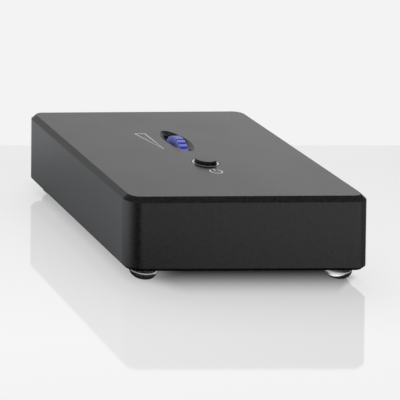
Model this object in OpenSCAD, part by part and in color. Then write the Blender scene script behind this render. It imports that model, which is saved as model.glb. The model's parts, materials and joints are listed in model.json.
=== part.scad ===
// Desktop phono preamp in a milled aluminium case, with a thumbwheel volume control,
// a push button on top and its connectors on the back.
// X is the width, +Y runs from the front face to the back, +Z is up.
// The origin is at the middle of the whole part's footprint, on the surface it stands on.

/* [Case] */
// Width of the case
case_w = 100; // [96:1:130]
// Depth of the case, without the connectors
case_d = 120; // [112:1:160]
// Height of the case, without the feet
case_h = 31.5; // [30.5:0.5:45]
// Radius of the upright corners
corner_r = 6.2; // [4:0.2:9]
// 45 degree chamfer round the top edge
top_chamfer = 2.1; // [0.5:0.1:2.4]
// 45 degree chamfer round the bottom edge
bottom_chamfer = 1.5; // [0.4:0.1:2]
// Thickness of the front and side walls
side_wall = 2.5; // [2:0.1:2.6]
// Thickness of the back wall
rear_wall = 2; // [1.5:0.1:3]
// Thickness of the top
roof = 3; // [2.5:0.1:4]

/* [Base and feet] */
// Thickness of the base plate
plate_t = 2; // [1.5:0.1:2.5]
// Gap all round the base plate
plate_gap = 0.15; // [0.1:0.05:0.3]
// Diameter of the base screws' thread
base_screw_d = 3; // [2.5:0.1:3.5]
// Diameter of the pillars that take the base screws
pillar_d = 7; // [6:0.1:8]
// Distance from the case's front and back to a base screw
pillar_end = 22; // [19:0.5:28]
// Diameter of a foot
foot_d = 11.1; // [9:0.1:12.7]
// Height of a foot
foot_h = 5.5; // [4:0.1:6.5]
// Distance from the case's sides to the middle of a foot
foot_side = 9.8; // [8.4:0.1:14]
// Distance from the case's front and back to the middle of a foot
foot_end = 8.4; // [8.4:0.1:12]
// Diameter of the flat that a foot rests on
foot_flat_d = 3; // [2:0.1:4]

/* [Controls] */
// Distance of the wheel and the button to the right of the case's middle
control_x = 0.9; // [-2:0.1:2]

/* [Volume wheel] */
// Radius of the wheel
wheel_r = 10; // [9.5:0.1:11.5]
// Width of the wheel
wheel_w = 3.4; // [3:0.1:5]
// Height of the wheel's rim above the top face
wheel_proud = 2.1; // [0.5:0.1:2.2]
// Distance of the wheel's axle in front of the middle of its dish
wheel_ahead = 0.9; // [0:0.1:1.5]
// Number of grooves round the wheel
wheel_grooves = 25; // [20:1:34]
// Radius of one groove
groove_r = 0.85; // [0.5:0.05:0.9]
// Radius of the black core of the wheel
core_r = 5.5; // [4.5:0.1:7]
// Gap beside the wheel in its slot
slot_side = 0.5; // [0.3:0.05:1]
// Gap between the wheel's rim and the front end of its slot
slot_gap = 0.35; // [0.3:0.05:1]
// Distance of the finger dish behind the middle of the case
dish_y = 15; // [12:0.5:18]
// Length of the finger dish along the depth
dish_l = 29; // [26:0.2:32]
// Width of the finger dish
dish_w = 10.4; // [9.6:0.2:14]
// Depth of the finger dish
dish_depth = 2.6; // [2.2:0.1:3]

/* [Power button] */
// Distance of the button in front of the middle of the case
button_y = 15; // [12:0.5:20]
// Diameter of the button's cap
button_d = 8.8; // [7:0.1:10]
// Height of the cap above the top face
button_proud = 1.6; // [1.5:0.1:2.5]
// Travel of the button
button_travel = 1.4; // [1:0.1:1.5]
// Radius of the cap's rounded edge
button_edge = 0.5; // [0.2:0.05:0.8]
// Width of the metal ring round the cap
bezel_w = 1; // [0.8:0.05:1.5]
// Height of the ring above the top face
bezel_proud = 0.1; // [0.05:0.05:0.5]
// Gap between the cap and its ring
button_gap = 0.1; // [0.05:0.01:0.15]

/* [Circuit board] */
// Thickness of the board
board_t = 1.6; // [1.2:0.1:2]
// Gap between the base plate and the board
board_under = 2.3; // [2.2:0.1:3]
// Gap between the board's edges and the case's walls
board_gap = 1; // [0.5:0.1:2]
// Diameter of the pillars that carry the board
board_pillar_d = 6; // [5:0.1:7]
// Diameter of the board screws' thread
board_screw_d = 2.5; // [2:0.1:3]
// Distance from the case's sides to a board screw
board_screw_side = 20; // [17:0.5:22]
// Distance from the case's front to the front board screws
board_screw_front = 15; // [12:0.5:20]
// Distance from the case's back to the rear board screws
board_screw_rear = 31; // [28:0.5:34]

/* [Connectors] */
// Height of the connectors' axes above the board
jack_rise = 7.5; // [7:0.1:9]
// Distance between the jacks of a pair
jack_pitch = 13.5; // [13:0.1:14]
// Gap between the row of connectors and the case's side walls, inside
row_end = 3.5; // [2:0.1:4.5]
// Outer diameter of a jack's barrel
barrel_d = 8.3; // [8:0.05:8.5]
// Wall thickness of a jack's barrel
barrel_wall = 0.6; // [0.5:0.05:0.8]
// Length of a barrel outside the case
barrel_out = 9; // [8:0.1:10]
// Diameter of the hole for a plug's pin
socket_d = 3.3; // [3.2:0.05:3.4]
// Diameter of the ground post
post_d = 4; // [3:0.1:4]
// Diameter of the thumb nut
thumb_d = 8; // [7:0.1:8.5]
// Height of the thumb nut
thumb_h = 5; // [4:0.1:5]
// Distance that the thumb nut unscrews
post_travel = 2.8; // [2.1:0.7:2.8]
// Travel of the cartridge switch
slider_travel = 3; // [2:0.1:3]
// Bore of the headphone jack
phones_d = 3.6; // [3.5:0.05:3.7]
// Bore of the power inlet
inlet_d = 6; // [5.7:0.1:6.2]
// Diameter of the pin in the power inlet
inlet_pin_d = 2.1; // [2:0.1:2.5]

/* [Clearances] */
// Radial gap of a turning shaft in its bore
running_gap = 0.05; // [0.02:0.01:0.08]
// Radial gap of a piece that is fitted into a hole
fit_gap = 0.05; // [0.02:0.01:0.1]
// Gap round the connectors in the back wall
panel_gap = 0.3; // [0.2:0.05:0.4]

/* [Hidden] */
$fn = 64;
cut = 1;

// Lengthwise places
post_flange_t = 1.5;
washer_t = 0.8;
face_gap = 0.05;
post_end = 0.3;
post_out = post_flange_t + washer_t + thumb_h + post_travel + 2 * face_gap + post_end;
rear_reach = max(barrel_out, post_out);
front_y = -(case_d + rear_reach) / 2;
rear_y = front_y + case_d;
mid_y = (front_y + rear_y) / 2;
rear_in_y = rear_y - rear_wall;
dish_mid_y = mid_y + dish_y;
axle_y = dish_mid_y - wheel_ahead;
push_y = mid_y - button_y;

// Heights
bottom_z = foot_h;
top_z = bottom_z + case_h;
roof_z = top_z - roof;
plate_top_z = bottom_z + plate_t;
board_z = plate_top_z + board_under;
board_top_z = board_z + board_t;
jack_z = board_top_z + jack_rise;
axle_z = top_z + wheel_proud - wheel_r;

// Feet
foot_edge = 0.5;
foot_round = min((foot_d - foot_flat_d) / 2, foot_h - foot_edge);

// Case
inner_r = max(corner_r - side_wall, 1);
pillar_x = case_w / 2 - side_wall - pillar_d / 2 - 1;
web_l = case_w / 2 - side_wall / 2 - pillar_x;
pad_margin = 2.5;
pad_below = 2;
pad_r = 3;
pad_w = dish_w + 2 * pad_margin;
pad_l = dish_l + 2 * pad_margin;
pad_z = top_z - dish_depth - pad_below;
dish_section_r = (pow(dish_w / 2, 2) + pow(dish_depth, 2)) / (2 * dish_depth);
dish_run_r = (pow(dish_l / 2, 2) + pow(dish_depth, 2)) / (2 * dish_depth);
dish_axis_z = top_z - dish_depth + dish_section_r;

// Base screws: countersunk heads
base_head_d = 2 * base_screw_d;
base_head_h = (base_head_d - base_screw_d) / 2;
base_screw_l = 8;
base_key_d = 2 * base_screw_d / 3;
base_key_h = base_screw_d / 3;
base_screws_at = [
    for (x = [-pillar_x, pillar_x], y = [front_y + pillar_end, rear_y - pillar_end]) [x, y]
];

// Board
board_w = case_w - 2 * side_wall - 2 * board_gap;
board_front_y = front_y + side_wall + board_gap;
board_rear_y = rear_in_y - board_gap;
board_pillar_x = case_w / 2 - board_screw_side;
board_pillars_at = [
    for (x = [-board_pillar_x, board_pillar_x], y = [front_y + board_screw_front, rear_y - board_screw_rear])
        [x, y]
];
board_slot_l = 17;
notch_gap = 0.5;
hole_gap = 0.2;
board_head_d = 1.9 * board_screw_d;
board_head_h = 0.6 * board_screw_d;
board_screw_l = 6;
screw_spare = 1;

// Volume control
axle_d = 4;
slot_w = wheel_w + 2 * slot_side;
slot_l = 2 * (sqrt(pow(wheel_r, 2) - pow(axle_z - pad_z, 2)) + wheel_ahead + slot_gap);
slot_end_r = 0.5;
pot_w = 7;
pot_l = 13;
pot_gap = 0.5;
pot_collar = 0.7;
pot_collar_out = 0.4;
pot_bore_l = 6;
shaft_spare = 1;
pot_start = 0.5;
pot_x = slot_w / 2 + pot_collar_out + pot_start;
core_over = 0.6;
core_wall = 1;
led_d = 3;
led_h = 4.6;
led_rim = 0.4;
led_rim_h = 1;
led_gap = 0.7;
led_y = axle_y - wheel_r - led_d / 2 - led_gap;

// Power button
bezel_seat = 2.4;
bezel_bore_r = button_d / 2 + button_gap;
bezel_r = bezel_bore_r + bezel_w;
bezel_chamfer = 0.25;
flange_over = 0.9;
flange_r = button_d / 2 + flange_over;
flange_t = 1.2;
flange_gap = 0.1;
flange_top_z = roof_z - flange_gap;
stem_d = 4;
stem_in_cap = 2.4;
switch_side = 9;
switch_h = 8;
switch_top_z = board_top_z + switch_h;
plunger_d = 2.4;
plunger_grip = 1.6;
plunger_in = 2;
plunger_spare = 1;
plunger_out = plunger_grip + button_travel + plunger_spare;
plunger_well = plunger_in + button_travel + plunger_spare;
spring_wire_d = 0.6;
spring_r = stem_d / 2 + 1;
spring_turns = 6;
spring_steps = 12;

// Jacks
block_w = 9.6;
block_l = 11;
block_above = 5.5;
barrel_in = 4;
barrel_l = barrel_in + rear_wall + barrel_out;
barrel_step = 0.6;
barrel_flange_d = barrel_d + 1;
contact_wall = 0.4;
contact_back = 1.2;
insulator_step = 1;
contact_step = 0.4;
panel_hole_d = barrel_flange_d + 2 * panel_gap;

// Ground post
post_flange_d = 8;
post_head_d = 7;
post_head_t = 2.5;
post_tail = 3;
washer_d = thumb_d + 0.4;
washer_rest_y = rear_y + post_flange_t + face_gap;
nut_rest_y = washer_rest_y + washer_t + face_gap;
thumb_flutes = 16;
thumb_flute_r = 0.45;
thumb_rim = 0.6;

// Cartridge switch
slider_body_w = 8;
slider_body_l = 6;
slider_body_above = 3.2;
slider_knob_w = 2.6;
slider_knob_h = 2.6;
slider_out = 1.8;
slider_in = 2.5;
slider_gap = 0.5;
slider_window_w = slider_knob_w + slider_travel + 2 * slider_gap;
slider_window_h = slider_knob_h + 2 * slider_gap;

// Headphone jack
phones_body_w = 6.2;
phones_body_l = 14;
phones_body_above = 3.4;
phones_nose_d = 6;
phones_nose_out = 2.6;
phones_nut_d = 8.2;
phones_nut_t = 2;
nut_slot = 0.6;
phones_depth = 14;

// Power inlet
inlet_body_w = 9;
inlet_body_l = 13.5;
inlet_body_above = 4.6;
inlet_nose_d = 8;
inlet_depth = 9.5;
inlet_pin_short = 1;
inlet_pin_root = 2;

// The row of connectors: equal gaps between them, from wall to wall
pair_w = jack_pitch + block_w;
row_w = case_w - 2 * side_wall - 2 * row_end;
row_gap = (row_w - 2 * pair_w - post_flange_d - slider_body_w - phones_body_w - inlet_body_w) / 5;
input_x = -row_w / 2 + pair_w / 2;
post_x = input_x + pair_w / 2 + row_gap + post_flange_d / 2;
output_x = post_x + post_flange_d / 2 + row_gap + pair_w / 2;
slider_x = output_x + pair_w / 2 + row_gap + slider_body_w / 2;
phones_x = slider_x + slider_body_w / 2 + row_gap + phones_body_w / 2;
inlet_x = phones_x + phones_body_w / 2 + row_gap + inlet_body_w / 2;

// Parts on the board: their sizes, and their places from the middle of the case
can_d = 8;
can_h = 12.5;
can_side = 12.5;
can_pitch_x = 9;
can_pitch_y = 10;
can_first_y = -26;
cans_at = [
    for (i = [0, 1], j = [0, 1]) [-case_w / 2 + can_side + i * can_pitch_x, can_first_y + j * can_pitch_y]
];
can_groove_z = 1.4;
can_groove_r = 0.5;
can_groove_out = 0.15;
film_size = [7.2, 4.8, 8.5];
film_side = 17;
film_first_y = 2;
film_pitch = 10;
films_at = [for (i = [0, 1]) [-case_w / 2 + film_side, film_first_y + i * film_pitch]];
chip_size = [6.4, 9.6, 3.4];
chip_lift = 0.6;
chip_x = -18;
chip_first_y = 8;
chip_pitch = 16;
chips_at = [for (i = [0, 1]) [chip_x, chip_first_y + i * chip_pitch]];
leg_pitch = 2.54;
relay_size = [15, 7.4, 9.8];
relay_gap = 1.3;
relay_x = 22;
relay_y = case_d / 2 - rear_wall - phones_body_l - relay_gap - relay_size[1] / 2;
regulator_size = [10, 4.6, 9];
regulator_side = 18;
regulator_y = 6;
regulator_lift = 4;
tab_t = 1.3;
tab_h = 6;
lead_d = 0.7;
lead_sunk = 0.1;

// ---------- shapes that several pieces share ----------

// A rectangle with round corners
module rounded_rect(w, d, r) {
    square([w - 2 * r, d], center = true);
    square([w, d - 2 * r], center = true);
    for (x = [-1, 1], y = [-1, 1])
        translate([x * (w / 2 - r), y * (d / 2 - r)])
            circle(r);
}

// The upright section of a slab, with a chamfer above and one below
module slab_section(w, h, low, high) {
    polygon([
        [-w / 2 + low, 0], [w / 2 - low, 0], [w / 2, low], [w / 2, h - high],
        [w / 2 - high, h], [-w / 2 + high, h], [-w / 2, h - high], [-w / 2, low]
    ]);
}

// A slab with round upright corners and chamfers that follow them
module chamfered_slab(w, d, h, r, low, high) {
    translate([0, d / 2 - r, 0])
        rotate([90, 0, 0])
            linear_extrude(d - 2 * r)
                slab_section(w, h, low, high);
    translate([-w / 2 + r, 0, 0])
        rotate([90, 0, 90])
            linear_extrude(w - 2 * r)
                slab_section(d, h, low, high);
    for (x = [-1, 1], y = [-1, 1])
        translate([x * (w / 2 - r), y * (d / 2 - r), 0])
            rotate_extrude()
                polygon([[0, 0], [r - low, 0], [r, low], [r, h - high], [r - high, h], [0, h]]);
}

// A cylinder that runs along +Y from y
module rod_y(d, y, l) {
    translate([0, y + l, 0])
        rotate([90, 0, 0])
            cylinder(d = d, h = l);
}

// A cylinder that runs along +X from x
module rod_x(d, x, l) {
    translate([x, 0, 0])
        rotate([0, 90, 0])
            cylinder(d = d, h = l);
}

// A block that stands on the board
module on_board(x, y, size) {
    translate([x - size[0] / 2, y - size[1] / 2, board_top_z])
        cube(size);
}

// ---------- case ----------

// The finger dish: a spindle whose axis lies above the top face, along the depth
module dish_cut() {
    translate([control_x, dish_mid_y, dish_axis_z])
        rotate([90, 0, 0])
            rotate_extrude($fn = 96)
                intersection() {
                    translate([dish_section_r - dish_run_r, 0])
                        circle(dish_run_r, $fn = 128);
                    translate([0, -dish_run_r])
                        square([dish_section_r, 2 * dish_run_r]);
                }
}

module wheel_slot_cut() {
    translate([control_x, dish_mid_y, pad_z - cut])
        linear_extrude(top_z - pad_z + 2 * cut)
            rounded_rect(slot_w, slot_l, slot_end_r);
}

module button_cut() {
    translate([control_x, push_y, 0]) {
        translate([0, 0, top_z - bezel_seat])
            cylinder(r = bezel_r + fit_gap, h = bezel_seat + cut);
        translate([0, 0, roof_z - cut])
            cylinder(r = bezel_bore_r, h = roof + 2 * cut);
    }
}

module panel_hole(x, d) {
    translate([x, 0, jack_z])
        rod_y(d, rear_in_y - cut, rear_wall + 2 * cut);
}

module rear_cuts() {
    for (pair_x = [input_x, output_x], side = [-1, 1])
        panel_hole(pair_x + side * jack_pitch / 2, panel_hole_d);
    panel_hole(post_x, post_d + 2 * fit_gap);
    panel_hole(phones_x, phones_nose_d + 2 * panel_gap);
    panel_hole(inlet_x, inlet_nose_d + 2 * panel_gap);
    translate([slider_x - slider_window_w / 2, rear_in_y - cut, jack_z - slider_window_h / 2])
        cube([slider_window_w, rear_wall + 2 * cut, slider_window_h]);
}

module case_cavity() {
    cavity_d = case_d - side_wall - rear_wall;
    translate([0, front_y + side_wall + cavity_d / 2, bottom_z - cut])
        linear_extrude(roof_z - bottom_z + cut)
            rounded_rect(case_w - 2 * side_wall, cavity_d, inner_r);
}

// Pillars and pads that the top and sides carry inside
module case_ribs() {
    for (at = base_screws_at)
        translate([at[0], at[1], plate_top_z]) {
            cylinder(d = pillar_d, h = roof_z - plate_top_z + roof / 2);
            translate([at[0] > 0 ? 0 : -web_l, -pillar_d / 2, 0])
                cube([web_l, pillar_d, roof_z - plate_top_z + roof / 2]);
        }
    for (at = board_pillars_at)
        translate([at[0], at[1], board_top_z])
            cylinder(d = board_pillar_d, h = roof_z - board_top_z + roof / 2);
    translate([control_x, dish_mid_y, pad_z])
        linear_extrude(roof_z - pad_z + roof / 2)
            rounded_rect(pad_w, pad_l, pad_r);
}

module housing() {
    color([0.13, 0.13, 0.14])
        difference() {
            union() {
                difference() {
                    translate([0, mid_y, bottom_z])
                        chamfered_slab(case_w, case_d, case_h, corner_r, bottom_chamfer, top_chamfer);
                    case_cavity();
                }
                case_ribs();
            }
            dish_cut();
            wheel_slot_cut();
            button_cut();
            rear_cuts();
            for (at = base_screws_at)
                translate([at[0], at[1], plate_top_z - cut])
                    cylinder(d = base_screw_d + 2 * fit_gap, h = base_screw_l + cut);
            for (at = board_pillars_at)
                translate([at[0], at[1], board_top_z - cut])
                    cylinder(d = board_screw_d + 2 * fit_gap, h = board_screw_l + cut);
        }
}

// ---------- base and feet ----------

module base_plate() {
    plate_w = case_w - 2 * side_wall - 2 * plate_gap;
    plate_d = case_d - side_wall - rear_wall - 2 * plate_gap;
    color([0.16, 0.16, 0.17])
        difference() {
            translate([0, front_y + side_wall + plate_gap + plate_d / 2, bottom_z])
                linear_extrude(plate_t)
                    rounded_rect(plate_w, plate_d, inner_r - plate_gap);
            for (at = base_screws_at)
                translate([at[0], at[1], bottom_z]) {
                    translate([0, 0, -cut])
                        cylinder(d = base_screw_d + 4 * fit_gap, h = plate_t + 2 * cut);
                    translate([0, 0, -fit_gap])
                        cylinder(
                            d1 = base_head_d + 4 * fit_gap,
                            d2 = base_screw_d + 4 * fit_gap,
                            h = base_head_h + fit_gap
                        );
                }
        }
}

module base_screw() {
    difference() {
        union() {
            cylinder(d1 = base_head_d, d2 = base_screw_d, h = base_head_h);
            cylinder(d = base_screw_d, h = plate_t + base_screw_l - screw_spare);
        }
        translate([0, 0, -cut])
            cylinder(d = base_key_d, h = cut + base_key_h, $fn = 6);
    }
}

module base_screws() {
    color([0.2, 0.2, 0.21])
        for (at = base_screws_at)
            translate([at[0], at[1], bottom_z + fit_gap])
                base_screw();
}

// A clear moulded bumper, well rounded down to the small flat that it rests on
module foot(side, end) {
    foot_x = side * (case_w / 2 - foot_side);
    foot_y = mid_y + end * (case_d / 2 - foot_end);
    color([0.85, 0.88, 0.9, 0.5])
        translate([foot_x, foot_y, 0])
            rotate_extrude($fn = 96)
                intersection() {
                    union() {
                        translate([foot_d / 2 - foot_round, foot_round])
                            circle(foot_round, $fn = 96);
                        square([foot_d / 2 - foot_round, foot_h]);
                        translate([0, foot_round])
                            square([foot_d / 2, foot_h - foot_round]);
                    }
                    square([foot_d / 2, foot_h]);
                }
}

module foot_front_left() {
    foot(-1, -1);
}

module foot_front_right() {
    foot(1, -1);
}

module foot_rear_left() {
    foot(-1, 1);
}

module foot_rear_right() {
    foot(1, 1);
}

// ---------- circuit board ----------

module circuit_board() {
    color([0.05, 0.2, 0.12])
        difference() {
            translate([-board_w / 2, board_front_y, board_z])
                cube([board_w, board_rear_y - board_front_y, board_t]);
            for (at = base_screws_at)
                translate([at[0], at[1], board_z - cut]) {
                    cylinder(d = pillar_d + 2 * notch_gap, h = board_t + 2 * cut);
                    translate([at[0] > 0 ? 0 : -web_l, -pillar_d / 2 - notch_gap, 0])
                        cube([web_l, pillar_d + 2 * notch_gap, board_t + 2 * cut]);
                }
            for (at = board_pillars_at)
                translate([at[0], at[1], board_z - cut])
                    cylinder(d = board_screw_d + 2 * hole_gap, h = board_t + 2 * cut);
            translate([control_x - slot_w / 2, axle_y - board_slot_l / 2, board_z - cut])
                cube([slot_w, board_slot_l, board_t + 2 * cut]);
        }
}

module board_screw() {
    difference() {
        translate([0, 0, -board_head_h])
            cylinder(d = board_head_d, h = board_head_h);
        translate([0, 0, -board_head_h - cut])
            cylinder(d = board_head_d / 2, h = cut + board_head_h / 2, $fn = 6);
    }
    cylinder(d = board_screw_d, h = board_t + board_screw_l - screw_spare);
}

module board_screws() {
    color([0.75, 0.75, 0.77])
        for (at = board_pillars_at)
            translate([at[0], at[1], board_z])
                board_screw();
}

// ---------- volume control ----------

module volume_wheel() {
    color([0.2, 0.3, 0.9, 0.8])
        translate([control_x, axle_y, axle_z])
            difference() {
                rod_x(2 * wheel_r, -wheel_w / 2, wheel_w);
                rod_x(2 * (core_r + fit_gap), -wheel_w / 2 - cut, wheel_w + 2 * cut);
                for (i = [0 : wheel_grooves - 1])
                    rotate([i * 360 / wheel_grooves, 0, 0])
                        translate([0, 0, wheel_r + groove_r * 0.35])
                            rod_x(2 * groove_r, -wheel_w / 2 - cut, wheel_w + 2 * cut);
            }
}

module wheel_core() {
    core_w = wheel_w + core_over;
    color([0.06, 0.06, 0.07])
        translate([control_x, axle_y, axle_z])
            difference() {
                rod_x(2 * core_r, -core_w / 2, core_w);
                rod_x(axle_d + 2 * fit_gap, -core_w / 2 + core_wall, core_w);
            }
}

module volume_shaft() {
    shaft_start = -(wheel_w + core_over) / 2 + core_wall + fit_gap;
    color([0.8, 0.8, 0.82])
        translate([control_x, axle_y, axle_z])
            rod_x(axle_d, shaft_start, pot_x + pot_bore_l - shaft_spare - shaft_start);
}

module volume_potentiometer() {
    pot_h = pad_z - pot_gap - board_top_z;
    color([0.12, 0.22, 0.16])
        difference() {
            union() {
                translate([control_x + pot_x, axle_y - pot_l / 2, board_top_z])
                    cube([pot_w, pot_l, pot_h]);
                translate([control_x, axle_y, axle_z])
                    rod_x(axle_d + 2 * pot_collar, pot_x - pot_collar_out, pot_collar_out + cut);
            }
            translate([control_x, axle_y, axle_z])
                rod_x(axle_d + 2 * running_gap, pot_x - pot_collar_out - cut, pot_collar_out + cut + pot_bore_l);
        }
}

// A round lamp that shines into the wheel's rim
module wheel_led() {
    color([0.4, 0.5, 1])
        translate([control_x, led_y, board_top_z]) {
            cylinder(d = led_d + 2 * led_rim, h = led_rim_h);
            cylinder(d = led_d, h = led_h - led_d / 2);
            translate([0, 0, led_h - led_d / 2])
                sphere(d = led_d);
        }
}

// ---------- power button ----------

module power_button() {
    cap_top_z = top_z + button_proud;
    color([0.03, 0.03, 0.035])
        translate([control_x, push_y, 0])
            difference() {
                union() {
                    rotate_extrude() {
                        translate([0, flange_top_z])
                            square([button_d / 2, cap_top_z - button_edge - flange_top_z]);
                        translate([0, cap_top_z - button_edge - cut])
                            square([button_d / 2 - button_edge, button_edge + cut]);
                        translate([button_d / 2 - button_edge, cap_top_z - button_edge])
                            circle(button_edge, $fn = 32);
                    }
                    translate([0, 0, flange_top_z - flange_t])
                        cylinder(r = flange_r, h = flange_t);
                }
                translate([0, 0, flange_top_z - flange_t - cut])
                    cylinder(d = stem_d + 2 * fit_gap, h = stem_in_cap + cut + fit_gap);
            }
}

module button_bezel() {
    seat_z = top_z - bezel_seat + fit_gap;
    rim_z = top_z + bezel_proud;
    color([0.85, 0.85, 0.87])
        translate([control_x, push_y, 0])
            rotate_extrude()
                polygon([
                    [bezel_bore_r, seat_z], [bezel_r, seat_z], [bezel_r, rim_z - bezel_chamfer],
                    [bezel_r - bezel_chamfer, rim_z], [bezel_bore_r + bezel_chamfer, rim_z],
                    [bezel_bore_r, rim_z - bezel_chamfer]
                ]);
}

module button_stem() {
    stem_z = switch_top_z + plunger_out - plunger_grip;
    stem_top_z = flange_top_z - flange_t + stem_in_cap;
    color([0.9, 0.9, 0.88])
        translate([control_x, push_y, stem_z])
            difference() {
                cylinder(d = stem_d, h = stem_top_z - stem_z);
                translate([0, 0, -cut])
                    cylinder(d = plunger_d + 2 * fit_gap, h = plunger_grip + cut + fit_gap);
            }
}

// One point of the ring of wire at step i of the return spring
function spring_point(i, j, rise) =
    let (
        turn = 360 * i / spring_steps,
        side = 360 * j / 6,
        r = spring_r + spring_wire_d / 2 * cos(side)
    )
    [r * cos(turn), r * sin(turn), rise * i / (spring_turns * spring_steps) + spring_wire_d / 2 * sin(side)];

module button_spring() {
    low_z = switch_top_z + spring_wire_d / 2 + fit_gap;
    rise = flange_top_z - flange_t - spring_wire_d - 2 * fit_gap - switch_top_z;
    rings = spring_turns * spring_steps;
    color([0.7, 0.7, 0.72])
        translate([control_x, push_y, low_z])
            polyhedron(
                points = [for (i = [0 : rings], j = [0 : 5]) spring_point(i, j, rise)],
                faces = concat(
                    [for (i = [0 : rings - 1], j = [0 : 5])
                        [6 * i + j, 6 * i + (j + 1) % 6, 6 * (i + 1) + (j + 1) % 6, 6 * (i + 1) + j]],
                    [[5, 4, 3, 2, 1, 0]],
                    [[for (j = [0 : 5]) 6 * rings + j]]
                )
            );
}

module power_switch() {
    color([0.12, 0.12, 0.13])
        difference() {
            on_board(control_x, push_y, [switch_side, switch_side, switch_h]);
            translate([control_x, push_y, switch_top_z - plunger_well])
                cylinder(r = plunger_d / 2 + running_gap, h = plunger_well + cut);
        }
}

module switch_plunger() {
    color([0.85, 0.85, 0.82])
        translate([control_x, push_y, switch_top_z - plunger_in])
            cylinder(d = plunger_d, h = plunger_out + plunger_in);
}

// ---------- jacks ----------

module jack_block(pair_x) {
    color([0.07, 0.07, 0.075])
        difference() {
            translate([
                pair_x - (jack_pitch + block_w) / 2, rear_in_y - block_l, board_top_z
            ])
                cube([jack_pitch + block_w, block_l, jack_rise + block_above]);
            for (side = [-1, 1])
                translate([pair_x + side * jack_pitch / 2, 0, jack_z])
                    rod_y(barrel_d + 2 * fit_gap, rear_in_y - barrel_in, barrel_in + cut);
        }
}

module jack_barrel(x) {
    color([0.83, 0.68, 0.35])
        translate([x, 0, jack_z])
            difference() {
                union() {
                    rod_y(barrel_d, rear_in_y - barrel_in + fit_gap, barrel_l - fit_gap);
                    rod_y(barrel_flange_d, rear_in_y + fit_gap, rear_wall + barrel_step - fit_gap);
                }
                rod_y(barrel_d - 2 * barrel_wall, rear_in_y - barrel_in - cut, barrel_l + 2 * cut);
            }
}

module jack_insulator(x, tint) {
    core_l = barrel_l - insulator_step - fit_gap;
    color(tint)
        translate([x, 0, jack_z])
            difference() {
                rod_y(barrel_d - 2 * barrel_wall - 2 * fit_gap, rear_in_y - barrel_in + fit_gap, core_l);
                rod_y(
                    socket_d + 2 * contact_wall + 2 * fit_gap, rear_in_y - barrel_in - cut, core_l + 3 * cut
                );
            }
}

module jack_contact(x) {
    contact_l = barrel_l - insulator_step - contact_step - fit_gap;
    color([0.83, 0.68, 0.35])
        translate([x, 0, jack_z])
            difference() {
                rod_y(socket_d + 2 * contact_wall, rear_in_y - barrel_in + fit_gap, contact_l);
                rod_y(socket_d, rear_in_y - barrel_in + contact_back, contact_l + cut);
            }
}

left_tint = [0.9, 0.9, 0.88];
right_tint = [0.75, 0.1, 0.08];

module input_block() {
    jack_block(input_x);
}

module input_left_barrel() {
    jack_barrel(input_x + jack_pitch / 2);
}

module input_left_insulator() {
    jack_insulator(input_x + jack_pitch / 2, left_tint);
}

module input_left_contact() {
    jack_contact(input_x + jack_pitch / 2);
}

module input_right_barrel() {
    jack_barrel(input_x - jack_pitch / 2);
}

module input_right_insulator() {
    jack_insulator(input_x - jack_pitch / 2, right_tint);
}

module input_right_contact() {
    jack_contact(input_x - jack_pitch / 2);
}

module output_block() {
    jack_block(output_x);
}

module output_left_barrel() {
    jack_barrel(output_x + jack_pitch / 2);
}

module output_left_insulator() {
    jack_insulator(output_x + jack_pitch / 2, left_tint);
}

module output_left_contact() {
    jack_contact(output_x + jack_pitch / 2);
}

module output_right_barrel() {
    jack_barrel(output_x - jack_pitch / 2);
}

module output_right_insulator() {
    jack_insulator(output_x - jack_pitch / 2, right_tint);
}

module output_right_contact() {
    jack_contact(output_x - jack_pitch / 2);
}

// ---------- ground post ----------

module ground_post() {
    post_in = post_head_t + post_tail;
    color([0.83, 0.68, 0.35])
        translate([post_x, 0, jack_z]) {
            rod_y(post_d, rear_in_y - post_in, post_in + rear_wall + post_out);
            rod_y(post_flange_d, rear_y, post_flange_t);
        }
}

module ground_post_nut() {
    color([0.8, 0.8, 0.82])
        translate([post_x, 0, jack_z])
            difference() {
                translate([0, rear_in_y, 0])
                    rotate([90, 0, 0])
                        cylinder(d = post_head_d / cos(30), h = post_head_t, $fn = 6);
                rod_y(post_d + 2 * fit_gap, rear_in_y - post_head_t - cut, post_head_t + 2 * cut);
            }
}

module ground_washer() {
    color([0.8, 0.8, 0.82])
        translate([post_x, 0, jack_z])
            difference() {
                rod_y(washer_d, washer_rest_y, washer_t);
                rod_y(post_d + 2 * running_gap, washer_rest_y - cut, washer_t + 2 * cut);
            }
}

module ground_thumb_nut() {
    color([0.83, 0.68, 0.35])
        translate([post_x, 0, jack_z])
            difference() {
                rod_y(thumb_d, nut_rest_y, thumb_h);
                rod_y(post_d + 2 * running_gap, nut_rest_y - cut, thumb_h + 2 * cut);
                for (i = [0 : thumb_flutes - 1])
                    rotate([0, i * 360 / thumb_flutes, 0])
                        translate([thumb_d / 2, 0, 0])
                            rod_y(2 * thumb_flute_r, nut_rest_y + thumb_rim, thumb_h - 2 * thumb_rim);
            }
}

// ---------- cartridge switch ----------

module cartridge_switch() {
    body_h = jack_rise + slider_body_above;
    color([0.7, 0.7, 0.72])
        difference() {
            translate([slider_x - slider_body_w / 2, rear_in_y - slider_body_l, board_top_z])
                cube([slider_body_w, slider_body_l, body_h]);
            translate([
                slider_x - slider_window_w / 2, rear_in_y - slider_in - slider_gap, jack_z - slider_window_h / 2
            ])
                cube([slider_window_w, slider_in + slider_gap + cut, slider_window_h]);
        }
}

module cartridge_slider() {
    knob_x = slider_x - slider_travel / 2;
    color([0.05, 0.05, 0.055])
        translate([knob_x - slider_knob_w / 2, rear_in_y - slider_in, jack_z - slider_knob_h / 2])
            cube([slider_knob_w, slider_in + rear_wall + slider_out, slider_knob_h]);
}

// ---------- headphone jack ----------

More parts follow.
